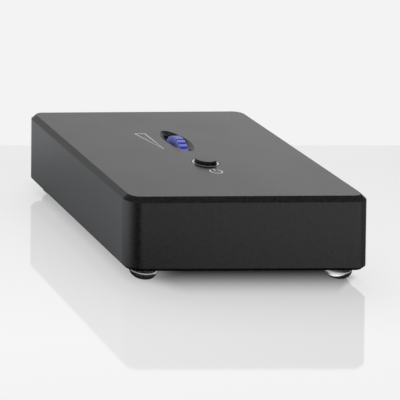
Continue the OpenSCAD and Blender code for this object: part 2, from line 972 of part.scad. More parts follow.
module headphone_jack() {
    color([0.07, 0.07, 0.075])
        difference() {
            union() {
                translate([phones_x - phones_body_w / 2, rear_in_y - phones_body_l, board_top_z])
                    cube([phones_body_w, phones_body_l, jack_rise + phones_body_above]);
                translate([phones_x, 0, jack_z])
                    rod_y(phones_nose_d, rear_in_y - cut, cut + rear_wall + phones_nose_out);
            }
            translate([phones_x, 0, jack_z])
                rod_y(phones_d, rear_y + phones_nose_out - phones_depth, phones_depth + cut);
        }
}

module headphone_ring_nut() {
    nut_y = rear_y + fit_gap;
    color([0.8, 0.8, 0.82])
        translate([phones_x, 0, jack_z])
            difference() {
                rod_y(phones_nut_d, nut_y, phones_nut_t);
                rod_y(phones_nose_d + 2 * fit_gap, nut_y - cut, phones_nut_t + 2 * cut);
                for (turn = [0, 90])
                    rotate([0, turn, 0])
                        translate([-phones_nut_d, nut_y + phones_nut_t - nut_slot, -nut_slot])
                            cube([2 * phones_nut_d, nut_slot + cut, 2 * nut_slot]);
            }
}

// ---------- power inlet ----------

module power_inlet() {
    color([0.07, 0.07, 0.075])
        difference() {
            union() {
                translate([inlet_x - inlet_body_w / 2, rear_in_y - inlet_body_l, board_top_z])
                    cube([inlet_body_w, inlet_body_l, jack_rise + inlet_body_above]);
                translate([inlet_x, 0, jack_z])
                    rod_y(inlet_nose_d, rear_in_y - cut, cut + rear_wall);
            }
            translate([inlet_x, 0, jack_z])
                rod_y(inlet_d, rear_y - inlet_depth, inlet_depth + cut);
            translate([inlet_x, 0, jack_z])
                rod_y(inlet_pin_d + 2 * fit_gap, rear_y - inlet_depth - inlet_pin_root, inlet_pin_root + cut);
        }
}

module power_inlet_pin() {
    color([0.8, 0.8, 0.82])
        translate([inlet_x, 0, jack_z])
            rod_y(
                inlet_pin_d, rear_y - inlet_depth - inlet_pin_root + fit_gap,
                inlet_depth + inlet_pin_root - inlet_pin_short - fit_gap
            );
}

// ---------- parts on the board ----------

module can_capacitor(at) {
    color([0.1, 0.1, 0.25])
        translate([at[0], mid_y + at[1], board_top_z])
            difference() {
                cylinder(d = can_d, h = can_h);
                translate([0, 0, can_groove_z])
                    rotate_extrude()
                        translate([can_d / 2 + can_groove_out, 0])
                            circle(can_groove_r, $fn = 24);
            }
}

module can_capacitor_1() {
    can_capacitor(cans_at[0]);
}

module can_capacitor_2() {
    can_capacitor(cans_at[1]);
}

module can_capacitor_3() {
    can_capacitor(cans_at[2]);
}

module can_capacitor_4() {
    can_capacitor(cans_at[3]);
}

module film_capacitor(at) {
    color([0.65, 0.12, 0.08])
        on_board(at[0], mid_y + at[1], film_size);
}

module film_capacitor_1() {
    film_capacitor(films_at[0]);
}

module film_capacitor_2() {
    film_capacitor(films_at[1]);
}

// An eight-pin chip: its legs stand on the board and carry the body
module amplifier_chip(at) {
    color([0.06, 0.06, 0.065])
        translate([at[0], mid_y + at[1], board_top_z]) {
            translate([-chip_size[0] / 2, -chip_size[1] / 2, chip_lift])
                cube(chip_size);
            for (side = [-1, 1], i = [-1.5 : 1 : 1.5])
                translate([side * (chip_size[0] / 2 + lead_d / 2 - lead_sunk), i * leg_pitch, 0])
                    translate([-lead_d / 2, -lead_d / 2, 0])
                        cube([lead_d, lead_d, chip_lift + chip_size[2] / 2]);
        }
}

module amplifier_chip_1() {
    amplifier_chip(chips_at[0]);
}

module amplifier_chip_2() {
    amplifier_chip(chips_at[1]);
}

module mute_relay() {
    color([0.85, 0.85, 0.8])
        on_board(relay_x, mid_y + relay_y, relay_size);
}

module voltage_regulator() {
    body_z = board_top_z + regulator_lift;
    color([0.06, 0.06, 0.065])
        translate([case_w / 2 - regulator_side, mid_y + regulator_y, 0]) {
            translate([-regulator_size[0] / 2, -regulator_size[1] / 2, body_z])
                cube(regulator_size);
            translate([-regulator_size[0] / 2, regulator_size[1] / 2 - tab_t, body_z])
                cube([regulator_size[0], tab_t, regulator_size[2] + tab_h]);
            for (i = [-1, 0, 1])
                translate([i * leg_pitch - lead_d / 2, -lead_d / 2, board_top_z])
                    cube([lead_d, lead_d, regulator_lift + lead_d]);
        }
}

housing();
base_plate();
base_screws();
foot_front_left();
foot_front_right();
foot_rear_left();
foot_rear_right();
circuit_board();
board_screws();
volume_wheel();
wheel_core();
volume_shaft();
volume_potentiometer();
wheel_led();
power_button();
button_bezel();
button_stem();
button_spring();
power_switch();
switch_plunger();
input_block();
input_left_barrel();
input_left_insulator();
input_left_contact();
input_right_barrel();
input_right_insulator();
input_right_contact();
output_block();
output_left_barrel();
output_left_insulator();
output_left_contact();
output_right_barrel();
output_right_insulator();
output_right_contact();
ground_post();
ground_post_nut();
ground_washer();
ground_thumb_nut();
cartridge_switch();
cartridge_slider();
headphone_jack();
headphone_ring_nut();
power_inlet();
power_inlet_pin();
can_capacitor_1();
can_capacitor_2();
can_capacitor_3();
can_capacitor_4();
film_capacitor_1();
film_capacitor_2();
amplifier_chip_1();
amplifier_chip_2();
mute_relay();
voltage_regulator();
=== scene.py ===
"""Looks of a desktop phono preamp: finishes, printed marks, a return spring and a studio."""

import json
import math

import bmesh
import bpy
from bpy.props import FloatProperty, FloatVectorProperty, IntProperty, PointerProperty
from mathutils import Matrix, Vector


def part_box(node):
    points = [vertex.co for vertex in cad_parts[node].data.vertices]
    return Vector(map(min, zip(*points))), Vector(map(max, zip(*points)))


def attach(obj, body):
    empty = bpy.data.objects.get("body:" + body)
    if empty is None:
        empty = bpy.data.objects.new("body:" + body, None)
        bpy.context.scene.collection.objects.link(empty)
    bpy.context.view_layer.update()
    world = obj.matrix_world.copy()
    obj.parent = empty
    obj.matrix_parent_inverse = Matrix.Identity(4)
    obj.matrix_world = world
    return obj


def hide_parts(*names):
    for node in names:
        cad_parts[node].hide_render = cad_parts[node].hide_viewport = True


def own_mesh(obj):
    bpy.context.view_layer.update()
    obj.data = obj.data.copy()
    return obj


bl_info = {
    "name": "Phono preamp",
    "version": (1, 0, 0),
    "blender": (4, 5, 0),
    "location": "View3D > Sidebar > Preamp",
    "description": "Finishes, printed marks and a studio for a desktop phono preamp",
    "category": "Object",
}

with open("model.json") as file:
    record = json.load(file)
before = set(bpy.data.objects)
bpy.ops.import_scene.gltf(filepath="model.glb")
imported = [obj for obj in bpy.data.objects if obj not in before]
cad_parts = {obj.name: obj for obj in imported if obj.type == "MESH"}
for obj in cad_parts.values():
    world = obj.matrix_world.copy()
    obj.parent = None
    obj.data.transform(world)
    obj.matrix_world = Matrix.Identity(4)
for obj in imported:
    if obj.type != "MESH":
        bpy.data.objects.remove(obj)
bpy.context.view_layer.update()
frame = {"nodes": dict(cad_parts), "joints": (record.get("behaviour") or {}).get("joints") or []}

# Fixed places and sizes of the model, in metres
MM = 0.001
CASE_LOW, CASE_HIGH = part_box("housing")
TOP_Z = CASE_HIGH.z
BACK_Y = CASE_HIGH.y
MID_Y = (CASE_LOW.y + CASE_HIGH.y) / 2
WHEEL_LOW, WHEEL_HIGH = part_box("volume_wheel")
AXLE = (WHEEL_LOW + WHEEL_HIGH) / 2
WHEEL_R = (WHEEL_HIGH.z - WHEEL_LOW.z) / 2
WHEEL_W = WHEEL_HIGH.x - WHEEL_LOW.x
BUTTON_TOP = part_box("power_button")[1].z


def middle_of(node):
    """The middle of a node's box."""
    low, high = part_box(node)
    return (low + high) / 2


# ---------- materials as expressions ----------


class Wire:
    """A node's output. Arithmetic on it adds Math nodes."""

    def __init__(self, finish, socket):
        self.finish = finish
        self.socket = socket

    def math(self, operation, *others):
        """This value, and any others after it, through a Math node."""
        return self.finish.math(operation, self, *others)

    def __add__(self, other):
        return self.math("ADD", other)

    def __radd__(self, other):
        return self.finish.math("ADD", other, self)

    def __sub__(self, other):
        return self.math("SUBTRACT", other)

    def __rsub__(self, other):
        return self.finish.math("SUBTRACT", other, self)

    def __mul__(self, other):
        return self.math("MULTIPLY", other)

    def __rmul__(self, other):
        return self.finish.math("MULTIPLY", other, self)

    def __truediv__(self, other):
        return self.math("DIVIDE", other)

    def __rtruediv__(self, other):
        return self.finish.math("DIVIDE", other, self)

    def __gt__(self, other):
        return self.math("GREATER_THAN", other)

    def __lt__(self, other):
        return self.math("LESS_THAN", other)

    def held(self, low, high):
        """No less than low and no more than high."""
        return self.math("MAXIMUM", low).math("MINIMUM", high)

    def step(self, low, high):
        """0 below low and 1 above high, smooth between."""
        return self.finish.node(
            "ShaderNodeMapRange",
            {"interpolation_type": "SMOOTHSTEP"},
            {"Value": self, "From Min": low, "From Max": high},
        )


class Finish:
    """A material, or the world's, under construction."""

    def __init__(self, name, world=None):
        self.material = world or bpy.data.materials.new(name)
        self.material.use_nodes = True
        self.tree = self.material.node_tree
        self.tree.nodes.clear()

    def node(self, kind, settings=None, inputs=None, out=0):
        """Adds a node, sets its settings and then its sockets, and returns one of its outputs."""
        made = self.tree.nodes.new(kind)
        for key, value in (settings or {}).items():
            if key == "stops":
                ramp = made.color_ramp.elements
                while len(ramp) < len(value):
                    ramp.new(0.5)
                for element, (place, colour) in zip(ramp, value):
                    element.position = place
                    element.color = colour
            else:
                setattr(made, key, value)
        for key, value in (inputs or {}).items():
            socket = made.inputs[key]
            if isinstance(value, Wire):
                self.tree.links.new(value.socket, socket)
            else:
                socket.default_value = value
        return Wire(self, made.outputs[out]) if made.outputs else None

    def math(self, operation, *values):
        """A Math node on numbers and wires."""
        return self.node("ShaderNodeMath", {"operation": operation}, dict(enumerate(values)))

    def ramp(self, factor, *levels):
        """Greys along a value: each is its place, its level and, where it has one, its blue."""
        stops = [(place, grey(*level)) for place, *level in levels]
        return self.node("ShaderNodeValToRGB", {"stops": stops}, {"Fac": factor})

    def rays(self, *kinds):
        """1 on rays of a kind and 0 on others, for each kind that is named."""
        outputs = self.node("ShaderNodeLightPath").socket.node.outputs
        return [Wire(self, outputs["Is " + kind + " Ray"]) for kind in kinds]

    def place(self):
        """Where a point is on its part, in metres."""
        return self.node("ShaderNodeTexCoord", out="Object")

    def parts(self, vector):
        """The three numbers of a vector."""
        split = self.node("ShaderNodeSeparateXYZ", None, {"Vector": vector})
        return [Wire(self, s) for s in split.socket.node.outputs]

    def noise(self, scale, detail=2.0, rough=0.5, place=None):
        """Soft noise, with so many waves in a metre."""
        return self.node(
            "ShaderNodeTexNoise",
            None,
            {"Vector": place or self.place(), "Scale": scale, "Detail": detail, "Roughness": rough},
        )

    def mix(self, factor, first, second, blend="MIX"):
        """A colour between two, or one blended into the other."""
        settings = {"data_type": "RGBA", "blend_type": blend}
        return self.node("ShaderNodeMix", settings, {0: factor, 6: first, 7: second}, out=2)

    def bump(self, height, distance, strength=1.0, normal=None):
        """Normals from a height, over other normals where they are given."""
        inputs = {"Height": height, "Distance": distance, "Strength": strength}
        if normal:
            inputs["Normal"] = normal
        return self.node("ShaderNodeBump", None, inputs)

    def rounded(self, radius):
        """Normals as if every edge had a small radius."""
        return self.node("ShaderNodeBevel", {"samples": 6}, {"Radius": radius})

    def surface(self, **sockets):
        """Ends the material in a Principled shader."""
        names = {key.replace("_", " "): value for key, value in sockets.items()}
        shader = self.node("ShaderNodeBsdfPrincipled", None, names)
        self.node("ShaderNodeOutputMaterial", None, {"Surface": shader})
        return self.material


def grey(level, blue=0.0):
    """A grey, a little bluer where asked."""
    return (level, level * (1 + blue * 0.5), level * (1 + blue), 1.0)


def paint(material, *nodes):
    """Gives CAD nodes a material."""
    for name in nodes:
        part = frame["nodes"][name]
        if not part.material_slots:
            raise RuntimeError(name + " has no material slot")
        for place in part.material_slots:
            place.material = material


def anodised(name, level, roughness, grain=1.0):
    """Blasted and black anodised aluminium: a fine even grain under a clear hard skin."""
    f = Finish(name)
    blast = f.noise(scale=5200.0, detail=3.0, rough=0.6)
    broad = f.noise(scale=38.0, detail=3.0, rough=0.55)
    streak = f.noise(scale=900.0, detail=1.0)
    mottle = f.noise(scale=900.0)
    dark, light = grey(level * 0.35), grey(level * 1.65, blue=0.1)
    base = f.mix(blast * 0.1 + mottle.step(0.38, 0.62) * 0.9, dark, light)
    rough = roughness + (broad - 0.5) * 0.06 + (streak - 0.5) * 0.05
    normal = f.bump(blast, distance=0.000012 * grain, strength=0.5, normal=f.rounded(0.00022))
    return f.surface(Base_Color=base, Roughness=rough, Metallic=0.0, IOR=1.42, Normal=normal)


def black_steel(name):
    """Blackened screw steel."""
    f = Finish(name)
    tone = f.noise(scale=2500.0)
    return f.surface(
        Base_Color=f.mix(tone, grey(0.03), grey(0.06)),
        Metallic=0.6,
        Roughness=0.32 + tone * 0.12,
        Normal=f.rounded(0.0001),
    )


def clear_rubber(name):
    """Clear soft rubber of the feet."""
    f = Finish(name)
    haze = f.noise(scale=700.0)
    return f.surface(
        Base_Color=grey(0.97),
        Roughness=0.01 + haze * 0.04,
        IOR=1.37,
        Transmission_Weight=0.94,
        Normal=f.bump(haze, distance=0.00001, strength=0.3),
    )


# Waves of lathe lines in a metre
LATHE_LINES = 9000.0


def metal(name, colour, roughness, turned=0.0, radius=0.00008, thread=None):
    """Bright metal with fine lathe lines across Y, and a thread where a span is given."""
    f = Finish(name)
    place = f.place()
    x, y, z = f.parts(place)
    lines = f.node(
        "ShaderNodeTexNoise",
        {"noise_dimensions": "1D"},
        {"W": y * LATHE_LINES, "Scale": 1.0, "Detail": 2.0},
    )
    cloud = f.noise(scale=420.0, detail=3.0, place=place)
    dark = tuple(c * 0.82 for c in colour) + (1.0,)
    base = f.mix(cloud, dark, tuple(colour) + (1.0,))
    normal = f.bump(lines, distance=0.00001, strength=turned, normal=f.rounded(radius))
    if thread:
        axis_x, axis_z, start, end, pitch = thread
        angle = (z - axis_z).math("ARCTAN2", x - axis_x) / (2 * math.pi)
        ridge = (y / pitch + angle).math("PINGPONG", 0.5) * 2
        inside = (y > start) * (y < end)
        normal = f.bump(ridge * inside, distance=pitch * 0.3, normal=normal)
    return f.surface(
        Base_Color=base, Metallic=1.0, Roughness=roughness + (cloud - 0.5) * 0.08, Normal=normal
    )


def moulded(name, colour, roughness, speck=0.1):
    """Moulded plastic with the fine skin of its tool."""
    f = Finish(name)
    skin = f.noise(scale=3000.0)
    dark = tuple(c * (1 - speck) for c in colour) + (1.0,)
    light = tuple(min(c * (1 + speck), 1.0) for c in colour) + (1.0,)
    return f.surface(
        Base_Color=f.mix(skin, dark, light),
        Roughness=roughness + (skin - 0.5) * 0.12,
        Normal=f.bump(skin, distance=0.00001, strength=0.4, normal=f.rounded(0.00012)),
    )


# How far below the button's top its satin begins and is full, in metres
CAP_EDGE = (0.0003, 0.0001)


def polished_black(name):
    """Deep black plastic, glossy round its side and satin on top."""
    f = Finish(name)
    height = f.parts(f.place())[2]
    swirl = f.noise(scale=260.0)
    top = height.step(*(BUTTON_TOP - below for below in CAP_EDGE))
    return f.surface(
        Base_Color=grey(0.004),
        Roughness=0.06 + swirl * 0.05 + top * 0.17,
        IOR=1.42,
        Normal=f.rounded(0.0001),
    )


# Where the wheel's cheek, out of the painted shade towards the hub, and the painted highlight on
# its rim begin and are full, as shares of its radius
HUB_SHADE_SPAN = (0.62, 0.8)
RIM_HIGHLIGHT_SPAN = (0.8, 0.92)
# How far within its sides the colour of a flank, and within its radius the painted highlight on a
# rib's top, begins and is full
FLANK_EDGE = (0.00012, 0.00002)
RIB_HIGHLIGHT_EDGE = (0.0004, 0.00006)


def lit_plastic(name, looks):
    """Clear blue plastic with a painted glow: the ribs and the rim glow and take pale painted
    highlights, the flanks take painted shade towards the hub, the grooves stay deep.
    """
    f = Finish(name)
    x, y, z = f.parts(f.place())
    dy = y - AXLE.y
    dz = z - AXLE.z
    out = (dy * dy + dz * dz).math("SQRT")
    aside = (x - AXLE.x).math("ABSOLUTE")
    flank = aside.step(*(WHEEL_W / 2 - within for within in FLANK_EDGE))
    # Painted highlight on the rib tops; on the flanks, painted shade towards the hub and a painted
    # highlight at the rim
    rib = out.step(*(WHEEL_R - within for within in RIB_HIGHLIGHT_EDGE))
    cheek = out.step(*(WHEEL_R * share for share in HUB_SHADE_SPAN))
    rim = out.step(*(WHEEL_R * share for share in RIM_HIGHLIGHT_SPAN))
    cloud = f.noise(scale=900.0)
    blues = (looks.deep, looks.body, looks.glow, looks.hub, looks.cheek)
    deep, body, glow, hub, pale = (tuple(blue) + (1.0,) for blue in blues)
    side = f.mix(rim, f.mix(cheek, hub, body), pale)
    colour = f.mix(flank, f.mix(rib, deep, pale), side)
    # Painted glow: the rib tops, the outer cheek and the rim glow, the grooves and the hub side do
    # not
    lit = rib * (1 - flank) + (cheek * 0.5 + rim * 0.4) * flank
    return f.surface(
        Base_Color=f.mix(cloud * 0.15, colour, hub),
        Roughness=0.22 + cloud * 0.1,
        IOR=1.49,
        Coat_Weight=0.3,
        Coat_Roughness=0.12,
        Emission_Color=f.mix(lit, f.mix(flank, deep, hub), glow),
        Emission_Strength=looks.strength,
        Normal=f.rounded(0.00015),
    )


def lamp_lens(name):
    """Clear blue lens of the lamp beside the wheel."""
    f = Finish(name)
    haze = f.noise(scale=1500.0)
    return f.surface(
        Base_Color=f.mix(haze, (0.25, 0.35, 0.95, 1.0), (0.4, 0.5, 1.0, 1.0)),
        Roughness=0.12 + haze * 0.05,
        Transmission_Weight=0.5,
        Emission_Color=f.mix(haze, (0.2, 0.3, 1.0, 1.0), (0.3, 0.4, 1.0, 1.0)),
        Emission_Strength=3.0,
    )


# Between which heights above the board's underside its bare edge shows, in metres
BOARD_EDGE = (0.0001, 0.0015)


def board_finish(name):
    """Solder mask over copper tracks."""
    f = Finish(name)
    place = f.place()
    z = f.parts(place)[2]
    cells = f.node(
        "ShaderNodeTexVoronoi",
        {"distance": "MANHATTAN", "feature": "F1"},
        {"Vector": place, "Scale": 420.0},
    )
    track = cells.step(0.0, 0.5)
    weave = f.noise(scale=2600.0)
    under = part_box("circuit_board")[0].z
    edge = (z < under + BOARD_EDGE[1]) * (z > under + BOARD_EDGE[0])
    mask = f.mix(track, (0.004, 0.075, 0.03, 1.0), (0.01, 0.13, 0.055, 1.0))
    glass = f.mix(weave, (0.16, 0.17, 0.07, 1.0), (0.22, 0.22, 0.1, 1.0))
    return f.surface(
        Base_Color=f.mix(edge, mask, glass),
        Roughness=0.28 + weave * 0.12,
        Coat_Weight=0.3,
        Normal=f.bump(track, distance=0.00003, strength=0.6),
    )


# Half the distance between the sleeves' stripes, and half a stripe's width, in metres
STRIPE_HALF_PITCH = 0.0045
STRIPE_HALF = 0.0007


def can_sleeve(name):
    """Shrunk sleeve with a paler stripe, and a bare aluminium top."""
    f = Finish(name)
    x, _, z = f.parts(f.place())
    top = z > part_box("can_capacitor_1")[1].z - 0.00002
    cloud = f.noise(scale=600.0)
    stripe = x.math("PINGPONG", STRIPE_HALF_PITCH) < STRIPE_HALF
    sleeve = f.mix(stripe, (0.012, 0.012, 0.05, 1.0), (0.02, 0.02, 0.075, 1.0))
    return f.surface(
        Base_Color=f.mix(top, sleeve, grey(0.62)),
        Metallic=top,
        Roughness=0.3 + cloud * 0.12,
        Normal=f.bump(cloud, distance=0.00002, strength=0.3, normal=f.rounded(0.0003)),
    )


def print_ink(name, level):
    """Matt screen-printed ink."""
    f = Finish(name)
    grain = f.noise(scale=6000.0)
    return f.surface(
        Base_Color=f.mix(grain, grey(level * 0.93), grey(level)), Roughness=0.5 + grain * 0.1
    )


# ---------- meshes ----------


def piece(name, mesh, material, body):
    """Puts a new piece in the scene on the body that carries it."""
    made = bpy.data.objects.new(name, mesh)
    bpy.context.scene.collection.objects.link(made)
    mesh.materials.append(material)
    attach(made, body)
    return made


def mesh_of(bm, name):
    """The mesh of a finished bmesh, which is freed."""
    mesh = bpy.data.meshes.new(name)
    bm.to_mesh(mesh)
    bm.free()
    return mesh


# The least cosine that a mitre divides by, so that a sharp corner doesn't grow long
MITRE_LIMIT = 0.3


def ribbon(bm, points, width, height, at, closed=False):
    """A raised line with mitred corners. at() takes a drawn point and a height to its place."""
    count = len(points)
    rings = []
    for i, p in enumerate(points):
        here = Vector(p)
        before = Vector(points[i - 1]) if closed or i else None
        after = Vector(points[(i + 1) % count]) if closed or i < count - 1 else None
        a = (here - before).normalized() if before else (after - here).normalized()
        b = (after - here).normalized() if after else a
        across = Vector((-(a + b).y, (a + b).x)).normalized()
        reach = width / 2 / max(across.dot(Vector((-a.y, a.x))), MITRE_LIMIT)
        left, right = here + across * reach, here - across * reach
        rings.append(
            [
                bm.verts.new(at(left.x, left.y, 0)),
                bm.verts.new(at(left.x, left.y, height)),
                bm.verts.new(at(right.x, right.y, height)),
                bm.verts.new(at(right.x, right.y, 0)),
            ]
        )
    for i in range(count if closed else count - 1):
        one, two = rings[i], rings[(i + 1) % count]
        for j in range(4):
            k = (j + 1) % 4
            bm.faces.new((one[j], one[k], two[k], two[j]))
    if not closed:
        bm.faces.new(rings[0][::-1])
        bm.faces.new(rings[-1])


def arc(cx, cy, radius, start, end, steps):
    """Points on an arc, angles in degrees."""
    turns = [math.radians(start + (end - start) * i / steps) for i in range(steps + 1)]
    return [(cx + radius * math.cos(t), cy + radius * math.sin(t)) for t in turns]


def lines_mesh(name, lines, width, height, at):
    """One mesh of several raised lines, each a list of points and whether it closes."""
    bm = bmesh.new()
    for points, closed in lines:
        ribbon(bm, points, width, height, at, closed)
    bmesh.ops.recalc_face_normals(bm, faces=bm.faces)
    return mesh_of(bm, name)


def coil_mesh(name, low, high, wire, turns, steps=28, sides=8):
    """A coil spring that fills a box and stands along Z."""
    bm = bmesh.new()
    thick = wire / 2
    middle = (low + high) / 2
    radius = (high.x - low.x) / 2 - thick
    rise = high.z - low.z - wire
    rings = []
    for i in range(turns * steps + 1):
        turn = 2 * math.pi * i / steps
        lift = low.z + thick + rise * i / (turns * steps)
        ring = []
        for j in range(sides):
            side = 2 * math.pi * j / sides
            out = radius + thick * math.cos(side)
            up = lift + thick * math.sin(side)
            x, y = middle.x + out * math.cos(turn), middle.y + out * math.sin(turn)
            ring.append(bm.verts.new((x, y, up)))
        rings.append(ring)
    for one, two in zip(rings, rings[1:]):
        for j in range(sides):
            k = (j + 1) % sides
            bm.faces.new((one[j], one[k], two[k], two[j])).smooth = True
    bm.faces.new(rings[0][::-1])
    bm.faces.new(rings[-1])
    bmesh.ops.recalc_face_normals(bm, faces=bm.faces)
    return mesh_of(bm, name)


def on_top(x, y, up):
    """The place of a point on the top face, given in millimetres from the case's middle."""
    return Vector((x * MM, MID_Y + y * MM, TOP_Z + up * MM))


def on_back(x, z, up):
    """The place of a point on the back face, given in millimetres as seen from behind."""
    return Vector((-x * MM, BACK_Y + up * MM, z * MM))


# ---------- sizes and colours ----------


class CaseLooks(bpy.types.PropertyGroup):
    """The skin of the case and its base"""

    level: FloatProperty(
        name="Black level",
        description="How light the anodised skin is",
        default=0.007,
        min=0.0,
        max=0.2,
    )
    roughness: FloatProperty(
        name="Roughness",
        description="How satin the skin is",
        default=0.25,
        min=0.05,
        max=1.0,
    )


class WheelLooks(bpy.types.PropertyGroup):
    """Colours of the volume wheel, with its painted highlights, painted shade and painted glow"""

    deep: FloatVectorProperty(
        name="Deep blue",
        description="Colour down in the grooves",
        subtype="COLOR",
        default=(0.02, 0.022, 0.36),
        min=0,
        max=1,
    )
    body: FloatVectorProperty(
        name="Body blue",
        description="Colour of the flat sides",
        subtype="COLOR",
        default=(0.11, 0.125, 0.35),
        min=0,
        max=1,
    )
    # Colour of the painted highlights on the rib tops and the rim
    cheek: FloatVectorProperty(
        name="Pale blue",
        description="Colour of the ribs and the rim",
        subtype="COLOR",
        default=(0.19, 0.21, 0.45),
        min=0,
        max=1,
    )
    # Colour of the painted shade on the flanks towards the hub
    hub: FloatVectorProperty(
        name="Hub blue",
        description="Colour towards the hub",
        subtype="COLOR",
        default=(0.028, 0.042, 0.11),
        min=0,
        max=1,
    )
    # Colour and strength of the wheel's painted glow, which stands in for the lamp's light inside
    # the plastic
    glow: FloatVectorProperty(
        name="Glow",
        description="Colour of the lit ribs",
        subtype="COLOR",
        default=(0.13, 0.15, 0.42),
        min=0,
        max=1,
    )
    strength: FloatProperty(
        name="Glow strength",
        description="How strongly the lamp lights the wheel",
        default=0.5,
        min=0.0,
        max=5.0,
    )


class SpringLooks(bpy.types.PropertyGroup):
    """Sizes of the button's return spring"""

    wire: FloatProperty(
        name="Wire",
        description="Thickness of the spring's wire",
        subtype="DISTANCE",
        default=0.0006,
        min=0.0002,
        max=0.001,
    )
    turns: IntProperty(
        name="Turns",
        description="How many turns the spring has",
        default=6,
        min=3,
        max=12,
    )


class MarkLooks(bpy.types.PropertyGroup):
    """Sizes and lightness of the printed marks"""

    line: FloatProperty(
        name="Line width",
        description="Width of a printed line, in millimetres",
        default=0.44,
        min=0.1,
        max=1.0,
    )
    ink: FloatProperty(
        name="Ink thickness",
        description="Height of the ink, in millimetres",
        default=0.03,
        min=0.01,
        max=0.1,
    )
    level: FloatProperty(
        name="Ink level",
        description="How light the ink is",
        default=0.72,
        min=0.0,
        max=1.0,
    )
    back_line: FloatProperty(
        name="Back line width",
        description="Width of a line on the back, in millimetres",
        default=0.26,
        min=0.1,
        max=1.0,
    )
    row: FloatProperty(
        name="Back row",
        description="Height of the signs on the back, in millimetres",
        default=29.5,
        min=26.0,
        max=33.0,
    )


class StageLooks(bpy.types.PropertyGroup):
    """Levels of the table, its painted glow and painted reflection, the room and the backdrop"""

    table: FloatProperty(
        name="Table level",
        description="How light the table is",
        default=0.245,
        min=0.0,
        max=1.0,
    )
    # The table's painted light: a glow that stands in for light on the table, and how it fades
    # towards the back
    table_glow: FloatProperty(
        name="Table glow",
        description="How much the table is lit from below",
        default=1.14,
        min=0.0,
        max=2.0,
    )
    table_fade: FloatProperty(
        name="Table fade",
        description="How much of that is lost with each metre towards the back",
        default=0.6,
        min=0.0,
        max=1.0,
    )
    table_back: FloatProperty(
        name="Table edge",
        description="Where the table meets the backdrop",
        subtype="DISTANCE",
        default=0.1178,
    )
    back_slant: FloatProperty(
        name="Edge slant",
        description="How far that edge runs out of true",
        default=0.0186,
    )
    # Level of the painted reflection that the case's left side finds in the table; no flag stands
    # there
    left: FloatProperty(
        name="Left flag",
        description="How light the side of the case finds the table",
        default=0.555,
        min=0.0,
        max=1.0,
    )
    backdrop: FloatProperty(
        name="Backdrop level",
        description="How light the background is",
        default=0.896,
        min=0.0,
        max=1.0,
    )
    overhead: FloatProperty(
        name="Overhead level",
        description="How light metal finds the room overhead",
        default=0.3,
        min=0.0,
        max=1.0,
    )
    fill: FloatProperty(
        name="Fill level",
        description="How strongly the room lights the object",
        default=0.5,
        min=0.0,
        max=2.0,
    )


# ---------- operators ----------


class PREAMP_OT_case(bpy.types.Operator):
    """Finish the case, its base and its feet"""

    bl_idname = "preamp.case"
    bl_label = "Case and feet"

    def execute(self, context):
        looks = context.scene.preamp_case
        paint(anodised("case_skin", looks.level, looks.roughness), "housing")
        base_skin = anodised("base_skin", looks.level * 1.2, looks.roughness + 0.06, grain=2.0)
        paint(base_skin, "base_plate")
        paint(black_steel("base_screw_black"), "base_screws")
        ends, sides = ("front", "rear"), ("left", "right")
        feet = ["foot_" + end + "_" + side for end in ends for side in sides]
        paint(clear_rubber("clear_dome"), *feet)
        return {"FINISHED"}


class PREAMP_OT_wheel(bpy.types.Operator):
    """Finish the volume control"""

    bl_idname = "preamp.wheel"
    bl_label = "Volume wheel"

    def execute(self, context):
        looks = context.scene.preamp_wheel
        paint(lit_plastic("wheel_painted_glow_blue", looks), "volume_wheel")
        paint(moulded("wheel_core_black", (0.012, 0.012, 0.014), 0.4), "wheel_core")
        paint(metal("shaft_steel", (0.62, 0.62, 0.64), 0.28, turned=0.3), "volume_shaft")
        paint(moulded("control_body", (0.02, 0.035, 0.025), 0.5), "volume_potentiometer")
        paint(lamp_lens("lamp_lens"), "wheel_led")
        return {"FINISHED"}


class PREAMP_OT_button(bpy.types.Operator):
    """Finish the power button and what it pushes"""

    bl_idname = "preamp.button"
    bl_label = "Power button"

    def execute(self, context):
        paint(polished_black("cap_black"), "power_button")
        paint(metal("ring_polished", (0.54, 0.54, 0.55), 0.12), "button_bezel")
        paint(moulded("stem_natural", (0.78, 0.77, 0.72), 0.42), "button_stem", "switch_plunger")
        paint(moulded("switch_black", (0.02, 0.02, 0.022), 0.45), "power_switch")
        return {"FINISHED"}


class PREAMP_OT_spring(bpy.types.Operator):
    """Wind the button's return spring"""

    bl_idname = "preamp.spring"
    bl_label = "Return spring"

    def execute(self, context):
        looks = context.scene.preamp_spring
        steel = metal("spring_steel", (0.55, 0.55, 0.57), 0.3)
        paint(steel, "button_spring")
        low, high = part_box("button_spring")
        mesh = coil_mesh("return_spring", low, high, looks.wire, looks.turns)
        made = piece("return_spring", mesh, steel, "case")
        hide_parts("button_spring")
        press = next(joint for joint in frame["joints"] if joint["name"] == "button_press")
        travel = press["range_m"][1]
        1 - travel / (high.z - low.z)
        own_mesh(made)
        return {"FINISHED"}


# Colour of the gold plating, and how far the post's thread rises in a turn, in metres
PLATED_GOLD = (0.86, 0.62, 0.26)
POST_PITCH = 0.0007


